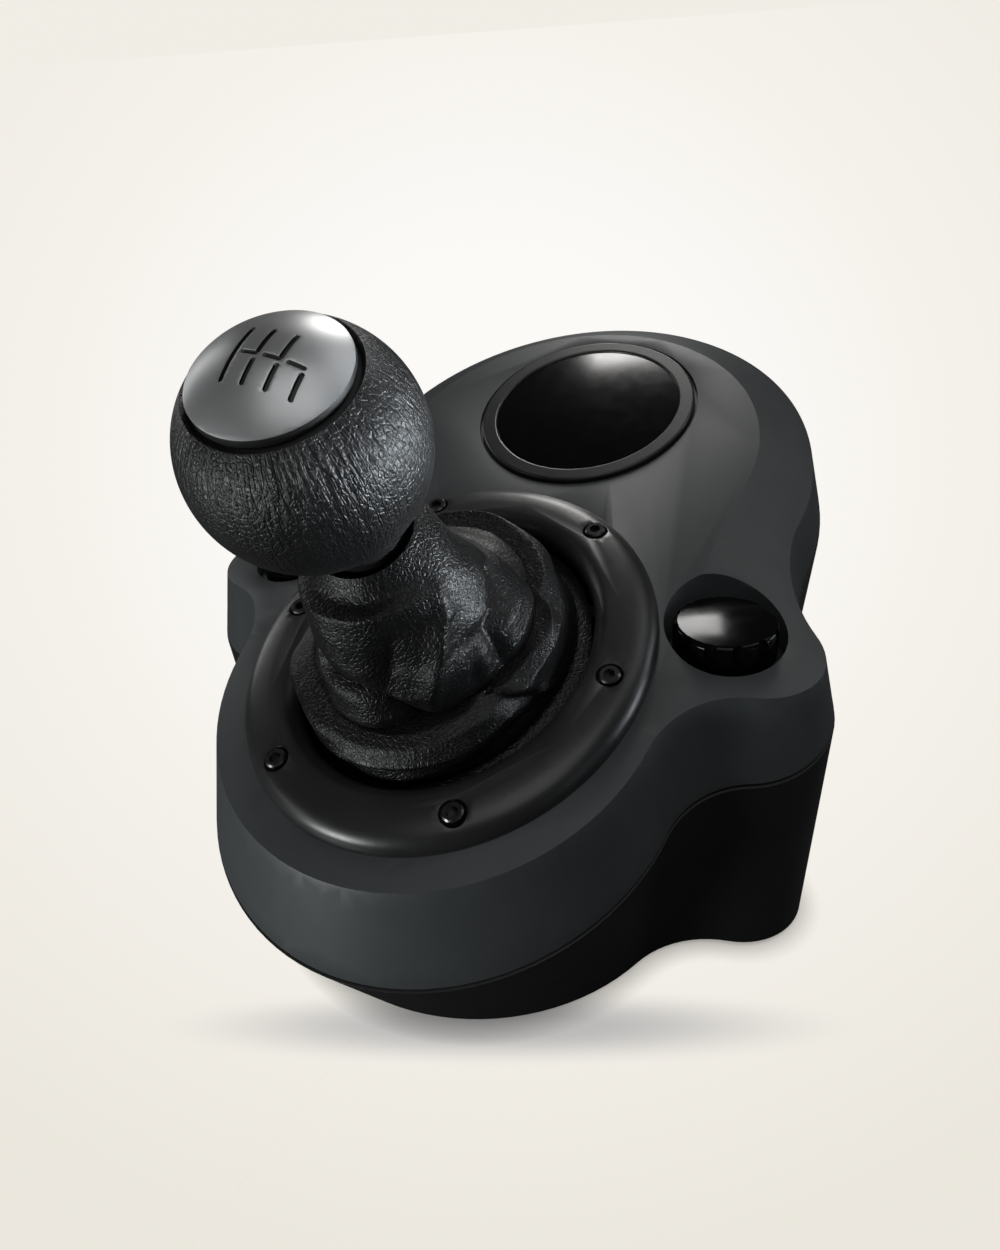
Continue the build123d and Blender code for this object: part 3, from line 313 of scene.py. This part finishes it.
def leather(name, dark, light, roughness, pebble, pebble_share, depth, specular):
    """Soft grained leather, with a slow unevenness under its grain."""
    material = new_material(name, dark, roughness, specular=specular)
    place = object_place(material)
    mottle(material, place, leather_tone_scale, dark, light)
    vary_roughness(material, place, leather_gloss_scale, roughness, leather_gloss_spread)
    creases = noise(material, place, Scale=leather_crease_scale, Detail=5, Roughness=0.62, Distortion=0.6)
    height = scaled(material, pebbles(material, place, pebble), pebble_share, creases)
    raise_surface(material, height, depth, leather_strength)
    return material


def knob_skin(name, dark, light, roughness, across, along, depth):
    """Leather drawn over a ball: fine wrinkles run down from the cap and die away below."""
    material = new_material(name, dark, roughness)
    place = object_place(material)
    mottle(material, place, leather_tone_scale, dark, light)
    vary_roughness(material, place, leather_gloss_scale, roughness, knob_gloss_spread)
    ball_place = local_place(material, place, knob_centre, cap_frame.to_euler())
    straight = vector_maths(material, "NORMALIZE", ball_place)
    spoke = vector_maths(material, "NORMALIZE", vector_maths(material, "MULTIPLY", straight, (1, 1, 0)))
    wide = vector_maths(material, "MULTIPLY", spoke, (across, across, 0))
    down = vector_maths(material, "MULTIPLY", straight, (0, 0, along))
    wrinkles = noise(material, vector_maths(material, "ADD", wide, down), Scale=1, Detail=3,
                     Roughness=0.55, Distortion=0.5)
    rise = node_in(material, "ShaderNodeSeparateXYZ", Vector=straight).outputs["Z"]
    fade = ranged(material, rise, "SMOOTHSTEP", From_Min=wrinkle_fade_from, From_Max=wrinkle_fade_to,
                  To_Min=wrinkle_least)
    folds = scaled(material, wrinkles, fade)
    height = scaled(material, pebbles(material, place, knob_pebble_scale), knob_pebble_share, folds)
    raise_surface(material, height, depth, knob_strength)
    return material


plastics = {
    # name: darker and lighter tone, roughness, height of the grain in mm, strength of the reflection
    "top_plastic": ((0.044, 0.049, 0.051), (0.052, 0.0575, 0.060), 0.44, 0.012, 0.5),
    "base_plastic": ((0.009, 0.009, 0.0094), (0.0115, 0.0115, 0.012), 0.46, 0.012, 0.35),
    "bezel_plastic": ((0.015, 0.015, 0.0155), (0.020, 0.020, 0.0205), 0.34, 0.012, 0.5),
    "inner_plastic": ((0.012, 0.012, 0.0125), (0.018, 0.018, 0.019), 0.55, 0.012, 0.5),
    "bush_plastic": ((0.75, 0.74, 0.70), (0.82, 0.81, 0.77), 0.4, 0.012, 0.5),
    "sensor_plastic": ((0.03, 0.03, 0.035), (0.04, 0.04, 0.045), 0.45, 0.012, 0.5),
    "header_plastic": ((0.72, 0.70, 0.62), (0.8, 0.78, 0.7), 0.45, 0.012, 0.5),
    "chip_plastic": ((0.012, 0.012, 0.012), (0.02, 0.02, 0.02), 0.5, 0.012, 0.5),
    "gloss_black": ((0.003, 0.003, 0.0032), (0.004, 0.004, 0.0043), 0.16, 0.001, 0.3),
    "knob_black": ((0.002, 0.002, 0.0022), (0.003, 0.003, 0.0033), 0.14, 0.001, 0.14),
    "pad_rubber": ((0.012, 0.012, 0.012), (0.02, 0.02, 0.02), 0.75, 0.03, 0.5),
    "board_mask": ((0.01, 0.09, 0.03), (0.015, 0.12, 0.04), 0.3, 0.012, 0.5),
    "jaw_paint": ((0.02, 0.02, 0.021), (0.03, 0.03, 0.031), 0.5, 0.03, 0.5),
    "pattern_paint": ((0.008, 0.008, 0.008), (0.012, 0.012, 0.012), 0.5, 0.012, 0.5),
    "cap_metal": ((0.46, 0.465, 0.47), (0.52, 0.525, 0.53), 0.40, 0.006, 0.5),
}
metals = {
    # name: colour, roughness
    "screw_black": ((0.13, 0.13, 0.135), 0.3),
    "steel": ((0.55, 0.56, 0.57), 0.3),
    "cast_metal": ((0.42, 0.43, 0.44), 0.45),
    "brass": ((0.62, 0.45, 0.18), 0.3),
    "can_metal": ((0.6, 0.62, 0.65), 0.25),
}
cap_metallic = 0.75
finishes = {name: grained_plastic(name, *look) for name, look in plastics.items()}
finishes.update({name: brushed(name, *look) for name, look in metals.items()})
finishes["gaiter_leather"] = leather(
    "gaiter_leather", (0.0012, 0.0012, 0.0013), (0.0028, 0.0028, 0.003), 0.42,
    pebble=1000, pebble_share=0.2, depth=0.58 * mm, specular=0.38)
finishes["knob_leather"] = knob_skin(
    "knob_leather", (0.005, 0.005, 0.0053), (0.010, 0.010, 0.0105), 0.40,
    across=26, along=5, depth=0.65 * mm)
set_surface(finishes["cap_metal"], Metallic=cap_metallic)

finish_nodes = {
    "top_plastic": ["upper_housing"],
    "base_plastic": ["lower_housing"],
    "bezel_plastic": ["bezel_ring", "badge_ring", "knob_collar", "gaiter_collar"],
    "inner_plastic": ["gaiter_frame", "pivot_frame", "knob_core"],
    "bush_plastic": ["select_bushes", "shift_bushes"],
    "sensor_plastic": ["select_sensor", "shift_sensor"],
    "header_plastic": ["cable_header"],
    "chip_plastic": ["controller_chip"],
    "gloss_black": ["badge_dome"],
    "knob_black": ["clamp_knob_left", "clamp_knob_right"],
    "pad_rubber": ["jaw_pad_left", "jaw_pad_right", "foot_pads", "cable_gland"],
    "board_mask": ["circuit_board"],
    "jaw_paint": ["clamp_jaw_left", "clamp_jaw_right"],
    "cap_metal": ["knob_cap"],
    "screw_black": ["bezel_screws", "case_screws", "leg_screws", "gate_screws"],
    "steel": ["clamp_screw_left", "clamp_screw_right", "thrust_washer_left", "thrust_washer_right",
              "gate_plate", "select_axles", "shift_axles", "torsion_springs", "push_spring",
              "lever_rod", "lever_clip", "board_screws"],
    "cast_metal": ["select_cradle", "shift_yoke"],
    "brass": ["clamp_nut_left", "clamp_nut_right", "mount_inserts"],
    "can_metal": ["capacitors"],
    "gaiter_leather": ["gaiter_lower", "gaiter_upper"],
    "knob_leather": ["knob_cover"],
}
for finish, nodes in finish_nodes.items():
    for node in nodes:
        wear(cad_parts[node], finish)


# Gaiter: one soft skin in two tiers, made in two stretches that meet in the valley between them

gaiter_columns = 200
gaiter_rows = 85
fold_row = 34
gaiter_rings = [
    # share of the way up, height above the top face, lift of the rear over the middle,
    # reach to the right, to the left, to the rear and to the front, middle along the slope, all in mm
    (0.00, -0.5, 0.0, 32.2, 32.2, 36.9, 36.9, 0.0),
    (0.04, 1.0, 0.0, 29.5, 31.4, 33.0, 36.2, 0.0),
    (0.12, 5.0, 0.5, 28.3, 31.6, 29.5, 36.4, 0.0),
    (0.20, 9.0, 1.5, 29.0, 31.4, 28.5, 36.0, -0.2),
    (0.28, 13.0, 2.8, 28.8, 29.2, 28.0, 32.6, -0.6),
    (0.34, 15.6, 4.2, 26.6, 26.0, 26.4, 28.4, -1.2),
    (0.40, 15.2, 3.6, 23.6, 22.4, 23.4, 24.2, -1.8),
    (0.47, 18.0, 2.4, 24.4, 22.4, 22.0, 25.4, -2.8),
    (0.58, 23.0, 1.0, 23.8, 21.6, 19.6, 25.0, -4.6),
    (0.71, 29.0, 0.0, 20.8, 18.8, 17.4, 22.2, -6.4),
    (0.83, 35.8, -0.6, 18.6, 17.0, 16.2, 19.2, -8.0),
    (0.91, 40.6, -1.2, 16.4, 15.4, 15.0, 16.6, -9.2),
]
ring_ease = 0.35
neck_share = 0.96
neck_height = 66.5
neck_r = 13.4
neck_end_height = 70
neck_end_r = 10.2
gaiter_length_mm = 56
base_reach_mm = 30
reach_fall_mm = 16

gaiter_creases = [
    # turn in degrees and share where it starts, the same where it ends, width and depth outwards in mm
    (-12, 0.92, -34, 0.78, 1.8, 2.2),
    (-34, 0.78, -50, 0.62, 2.0, 3.0),
    (-50, 0.62, -57, 0.48, 2.0, 1.7),
    (-56, 0.84, -70, 0.64, 2.6, -1.4),
    (-24, 0.64, -34, 0.50, 2.6, -1.4),
    (-118, 0.63, -93, 0.61, 1.7, -4.2),
    (-93, 0.61, -76, 0.56, 1.7, -4.0),
    (-76, 0.56, -62, 0.40, 1.7, -3.2),
    (-124, 0.71, -114, 0.64, 2.2, -4.2),
    (-118, 0.44, -80, 0.43, 4.6, 3.6),
    (-42, 0.38, -31, 0.30, 1.8, -3.0),
    (-31, 0.30, -18, 0.18, 1.8, -2.4),
    (-160, 0.21, -138, 0.27, 3.4, 3.0),
    (-134, 0.29, -112, 0.24, 1.6, 1.6),
    (-110, 0.20, -96, 0.08, 1.8, -1.6),
    (36, 0.73, 12, 0.68, 2.0, -3.0),
    (12, 0.68, -10, 0.63, 2.0, -3.2),
    (-10, 0.63, -19, 0.46, 2.0, -2.6),
    (-26, 0.32, -17, 0.22, 1.2, 1.2),
    (-14, 0.17, -7, 0.08, 1.2, 1.2),
    (-4, 0.31, 22, 0.38, 3.6, 1.6),
    (86, 0.56, 60, 0.54, 2.0, -3.0),
    (60, 0.54, 38, 0.45, 2.0, -3.0),
    (38, 0.45, 16, 0.30, 2.0, -2.4),
    (110, 0.37, 84, 0.35, 2.2, 1.4),
    (84, 0.35, 44, 0.30, 2.2, 1.4),
    (-78, 0.12, -44, 0.16, 3.0, 1.0),
    (-150, 0.46, -140, 0.62, 2.2, -2.6),
    (-140, 0.62, -133, 0.82, 2.2, -1.8),
    (-166, 0.74, -158, 0.52, 2.6, 1.8),
    (178, 0.78, 168, 0.50, 2.2, -2.6),
    (152, 0.60, 128, 0.64, 2.0, -2.8),
    (128, 0.64, 108, 0.78, 2.2, -2.0),
    (142, 0.30, 120, 0.22, 2.4, -1.8),
    (72, 0.76, 58, 0.88, 2.2, -1.6),
    (96, 0.70, 92, 0.88, 2.4, 1.4),
]
crease_end_loss = 0.45
crease_sharpness = 1.4
wander_waves = [
    # depth in mm, waves round the bag, change over its height in radians
    (0.14, 9, 21),
    (0.08, 4, 55),
]
calm_share = 0.12
seam_gap = 0.01 * mm
gaiter_skin = 0.8 * mm
gaiter_smooth_deg = 60


def between(table, share):
    """Values of a table at a share of the way up."""
    for low, high in zip(table, table[1:]):
        if share <= high[0]:
            way = (share - low[0]) / (high[0] - low[0])
            way = way * way * (3 - 2 * way) * ring_ease + way * (1 - ring_ease)
            return [a + (b - a) * way for a, b in zip(low[1:], high[1:])]
    return list(table[-1][1:])


def bag_point(turn, share):
    """Point of the smooth bag at a turn round it, in radians, and a share of the way up."""
    height, lift, right, left, rear, front, middle = between(gaiter_rings, share)
    x = (right if cos(turn) > 0 else left) * cos(turn)
    y = (rear if sin(turn) > 0 else front) * sin(turn) + middle
    point = top_frame @ (Vector((x, y, height + lift * sin(turn))) * mm)
    last = gaiter_rings[-1][0]
    if share <= last:
        return point
    way = min((share - last) / (neck_share - last), 1)
    end_way = max((share - neck_share) / (1 - neck_share), 0)
    radius = neck_r + (neck_end_r - neck_r) * end_way
    up = neck_height + (neck_end_height - neck_height) * end_way
    neck = lever_frame @ (Vector((radius * cos(turn), radius * sin(turn), up)) * mm)
    return point.lerp(neck, way)


def crease_depth(turn_deg, share):
    """How far the folds push a point outwards, in mm. A fold fades towards its two ends."""
    depth = 0.0
    reach = base_reach_mm - reach_fall_mm * share
    for from_deg, from_share, to_deg, to_share, width, out in gaiter_creases:
        around = radians((turn_deg - from_deg + 180) % 360 - 180) * reach
        upwards = (share - from_share) * gaiter_length_mm
        run = radians((to_deg - from_deg + 180) % 360 - 180) * reach
        rise = (to_share - from_share) * gaiter_length_mm
        way = max(0, min(1, (around * run + upwards * rise) / (run * run + rise * rise)))
        off = ((around - way * run) ** 2 + (upwards - way * rise) ** 2) ** 0.5
        fade = 1 - crease_end_loss * (2 * way - 1) ** 4
        depth += out * fade * exp(-(off / width) ** crease_sharpness)
    return depth + sum(size * sin(waves * radians(turn_deg) + change * share)
                       for size, waves, change in wander_waves)


def calm(share):
    """How freely the skin folds at a share of the way up: not at its hem, nor at its neck."""
    return min(share / calm_share, 1) * min(max((neck_share - share) / calm_share, 0), 1)


def make_gaiter(name, first_row, last_row):
    rows = last_row - first_row
    deselect()
    bpy.ops.mesh.primitive_grid_add(x_subdivisions=gaiter_columns, y_subdivisions=rows, size=1)
    piece = bpy.context.object
    piece.name = name
    for vertex in piece.data.vertices:
        turn = (vertex.co.x + 0.5) * tau
        share = (first_row + (vertex.co.y + 0.5) * rows) / gaiter_rows
        point = bag_point(turn, share)
        axis = bag_point(turn + pi, share).lerp(point, 0.5)
        out = (point - axis).normalized()
        turn_deg = turn * 180 / pi
        vertex.co = point + out * (crease_depth(turn_deg, share) * calm(share) * mm)
    pick_all(piece)
    bpy.ops.mesh.remove_doubles(threshold=seam_gap)
    bpy.ops.mesh.normals_make_consistent(inside=False)
    end_edit()
    return piece


gaiter_skirt = make_gaiter("gaiter_skirt", 0, fold_row)
gaiter_bag = make_gaiter("gaiter_bag", fold_row, gaiter_rows)
for piece, node in ((gaiter_skirt, "gaiter_lower"), (gaiter_bag, "gaiter_upper")):
    apply_modifier(piece, "SUBSURF", levels=1, render_levels=1)
    apply_modifier(piece, "SOLIDIFY", thickness=gaiter_skin, offset=-1)
    smooth(piece, gaiter_smooth_deg)
    wear(piece, "gaiter_leather")
    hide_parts(node)
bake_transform(gaiter_skirt)
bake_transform(gaiter_bag)


# Knob: a leather ball with an open top

ball_segments = 160
ball_rings = 96
ball_mouth_gap = 0.1 * mm
ball_skin = 1.35 * mm
ball_edge = 0.3 * mm
ball_sharp_deg = 40
ball_smooth_deg = 50


def make_knob_ball():
    deselect()
    bpy.ops.mesh.primitive_uv_sphere_add(segments=ball_segments, ring_count=ball_rings, radius=knob_r)
    ball = bpy.context.object
    ball.name = "knob_ball"
    cut(ball, (0, 0, knob_cap_seat + ball_mouth_gap), (0, 0, 1), clear_outer=True)
    place_in_mesh(ball, cap_frame)
    cut(ball, knob_frame @ Vector((0, 0, knob_base)), knob_frame.to_3x3() @ up_axis, clear_inner=True)
    apply_modifier(ball, "SOLIDIFY", thickness=ball_skin, offset=-1)
    round_edges(ball, ball_edge, segments=3, sharp_deg=ball_sharp_deg)
    smooth(ball, ball_smooth_deg)
    wear(ball, "knob_leather")
    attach(ball, "lever")
    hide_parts("knob_cover")


make_knob_ball()


# Copies of CAD nodes with rounded edges

triangle_gap = 0.004 * mm
flat_deg = 0.3
copy_sharp_deg = 24
copy_smooth_deg = 35
pattern_depth = 0.3 * mm
pattern_facing = -0.2


def worked_copy(node, name, body, finish, edge=0.0, segments=3):
    """Copy of a CAD node with its triangles joined and its sharp edges rounded."""
    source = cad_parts[node]
    piece = bpy.data.objects.new(name, source.data.copy())
    bpy.context.scene.collection.objects.link(piece)
    wear(piece, finish)
    pick_all(piece)
    bpy.ops.mesh.remove_doubles(threshold=triangle_gap)
    bpy.ops.mesh.dissolve_limited(angle_limit=radians(flat_deg))
    end_edit()
    if edge:
        round_edges(piece, edge, segments, copy_sharp_deg)
    smooth(piece, copy_smooth_deg)
    if body:
        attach(piece, body)
    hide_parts(node)
    return piece


def paint_pattern(piece, finish):
    """Paint what is sunk below the rounded face of the cap."""
    piece.data.materials.append(finishes[finish])
    for face in piece.data.polygons:
        reach = face.center - knob_centre
        sunk = reach.length < cap_face_r - pattern_depth
        if sunk and reach.normalized().dot(face.normal) > pattern_facing:
            face.material_index = 1


worked_copy("upper_housing", "upper_shell", "root", "top_plastic", edge=0.9 * mm)
worked_copy("lower_housing", "lower_shell", "root", "base_plastic", edge=0.7 * mm)
worked_copy("bezel_ring", "bezel", "root", "bezel_plastic", edge=0.3 * mm, segments=2)
cap = worked_copy("knob_cap", "cap", "lever", "cap_metal", edge=0.12 * mm, segments=2)
paint_pattern(cap, "pattern_paint")

# The spring under the knob is pressed together between the yoke and the lever
spring = worked_copy("push_spring", "spring", None, "steel")
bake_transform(spring)


# Camera

camera_place = Vector((104.4, -162.1, 195.4)) * mm
camera_turn = radians(29.2)
camera_rise = radians(31.1)
camera_roll = radians(-4.3)
photo_height = 1250
focal_pixels = 993.68
sensor_mm = 36
nearest_seen = 0.01
camera_back = Vector((sin(camera_turn) * cos(camera_rise), -cos(camera_turn) * cos(camera_rise),
                      sin(camera_rise)))
level_right = (-camera_back).cross(up_axis).normalized()
level_up = level_right.cross(-camera_back)
rolled_right = level_right * cos(camera_roll) + level_up * sin(camera_roll)
rolled_up = level_up * cos(camera_roll) - level_right * sin(camera_roll)


def make_camera():
    lens = bpy.data.cameras.new("camera")
    lens.sensor_width = sensor_mm
    lens.lens = focal_pixels * sensor_mm / photo_height
    lens.clip_start = nearest_seen
    camera = bpy.data.objects.new("camera", lens)
    bpy.context.scene.collection.objects.link(camera)
    axes = Matrix((rolled_right, rolled_up, camera_back)).transposed().to_4x4()
    camera.matrix_world = Matrix.Translation(camera_place) @ axes
    bpy.context.scene.camera = camera


# Floor: paper that pales towards the middle of the view as a painted pool of light, with a painted soft
# shadow under the front

floor_r = 40
floor_corners = 128
floor_drop = 0.2 * mm
floor_tone = (0.10, 0.10, 0.10)
# The paper's brighter middle is a painted pool of light, centred a little above the middle of the view.
light_pool_rise_pixels = 145
light_pool_axis = (rolled_up * light_pool_rise_pixels - camera_back * focal_pixels).normalized()
painted_light_tones = [
    # angle from the palest place of the painted pool of light in degrees, colour
    (12, (0.97, 0.955, 0.93)),
    (24, (0.91, 0.88, 0.83)),
    (41, (0.83, 0.80, 0.73)),
]
shadow_middle = Vector((26.5, -36.8, 0)) * mm
shadow_turn = radians(24.2)
shadow_half_width = 84 * mm
shadow_half_depth = 11 * mm
shadow_core = 0.2
shadow_tone = (0.50, 0.49, 0.485)
# Painted contact shade: the paper darkens where the object stands close above it.
contact_shade_reach = 6 * mm
contact_shade_from = 0.2
contact_shade_least = 0.35
contact_shade_samples = 8


def paper_light_and_shadow(material, here):
    """Colour of the paper: a painted pool of light that is palest at the middle of the view, with the
    painted soft shadow on it.
    """
    ray = vector_maths(material, "SUBTRACT", here, camera_place)
    straight = vector_maths(material, "NORMALIZE", ray)
    near_axis = vector_measure(material, "DOT_PRODUCT", straight, light_pool_axis)
    # Painted pool of light: the paper is paler the nearer it lies to the middle of the view.
    tones = colour_ramp(material, near_axis,
                        [(cos(radians(angle_deg)), colour) for angle_deg, colour in reversed(painted_light_tones)])
    spot = local_place(material, here, shadow_middle, (0, 0, shadow_turn),
                       (shadow_half_width, shadow_half_depth, 1))
    away = vector_measure(material, "LENGTH", spot)
    shadow = ranged(material, away, "SMOOTHSTEP", From_Min=shadow_core, To_Min=1, To_Max=0)
    shade = node_in(material, "ShaderNodeMixRGB", Fac=shadow, Color1=tones, Color2=(*shadow_tone, 1))
    return shade.outputs["Color"]


def make_floor():
    deselect()
    bpy.ops.mesh.primitive_circle_add(vertices=floor_corners, radius=floor_r, fill_type="NGON",
                                      location=(0, 0, -floor_drop))
    floor = bpy.context.object
    floor.name = "floor"
    place_in_mesh(floor, Matrix.Identity(4))
    material = new_material("floor_paper", floor_tone, roughness=0.9, specular=0.0)
    floor.data.materials.append(material)

    here = node_in(material, "ShaderNodeTexCoord").outputs["Object"]
    # Painted contact shade, from occlusion, dims the paper's glow near the object.
    contact = node_in(material, "ShaderNodeAmbientOcclusion", Distance=contact_shade_reach)
    contact.samples = contact_shade_samples
    painted_contact_shade = ranged(material, contact.outputs["AO"], From_Min=contact_shade_from, To_Min=contact_shade_least)
    glow = node_in(material, "ShaderNodeEmission", Color=paper_light_and_shadow(material, here), Strength=painted_contact_shade)
    show_camera(material, surface_of(material).outputs["BSDF"], glow.outputs["Emission"], "Material Output")


# World and lights

far_colour = (0.875, 0.850, 0.790)
fill_colour = (0.98, 0.99, 1)
fill_strength = 0.02
light_centre = Vector((0, 0.02, 0.08))
lights = [
    # name, direction from its aim, distance, width and height in metres, power in watts, colour
    ("key", (-0.28, 0.76, 0.59), 1.0, 0.24, 0.24, 2.6, (1, 0.99, 0.97)),
    ("back_right", (0.37, 0.43, 0.81), 1.0, 0.50, 0.50, 0.8, (1, 1, 1)),
    ("right_low", (0.92, -0.25, 0.15), 0.8, 0.2, 0.4, 0.10, (0.9, 0.95, 1)),
    ("right_rear", (0.70, 0.55, 0.25), 0.8, 0.2, 0.3, 0.6, (0.88, 0.95, 1)),
    ("front_left", (-0.7, -0.65, 0.12), 0.8, 0.3, 0.12, 0.26, (1, 1, 1)),
    ("front_low", (-0.42, -0.88, -0.10), 0.42, 0.12, 0.05, 0.75, (0.97, 1, 1)),
    ("left_rim", (-0.93, 0.22, 0.30), 0.8, 0.14, 0.5, 0.55, (1, 1, 1)),
    ("front_high", (0.25, -0.40, 0.88), 1.1, 0.9, 0.9, 2.9, (1, 1, 1)),
]
knob_light = ("knob_side", (0.90, 0.42, -0.10), 0.20, 0.04, 0.06, 0.035, (0.86, 0.94, 1))
knob_light_spread = radians(34)


def make_light(name, direction, distance, width, height, power, colour, aim=light_centre):
    light = bpy.data.lights.new(name, "AREA")
    light.shape = "RECTANGLE"
    light.size = width
    light.size_y = height
    light.energy = power
    light.color = colour
    lamp = bpy.data.objects.new(name, light)
    bpy.context.scene.collection.objects.link(lamp)
    away = Vector(direction).normalized()
    lamp.location = aim + away * distance
    lamp.rotation_euler = (-away).to_track_quat("-Z", "Y").to_euler()
    return light


def make_world():
    world = bpy.data.worlds.new("studio")
    bpy.context.scene.world = world
    world.use_nodes = True
    seen = world.node_tree.nodes["Background"]
    give_all(world, seen, {"Color": (*far_colour, 1)})
    fill = node_in(world, "ShaderNodeBackground", Color=(*fill_colour, 1), Strength=fill_strength)
    show_camera(world, fill.outputs["Background"], seen.outputs["Background"], "World Output")


make_camera()
make_floor()
make_world()
for light in lights:
    make_light(*light)
make_light(*knob_light, aim=knob_centre).spread = knob_light_spread
bpy.context.scene.view_settings.view_transform = "Standard"
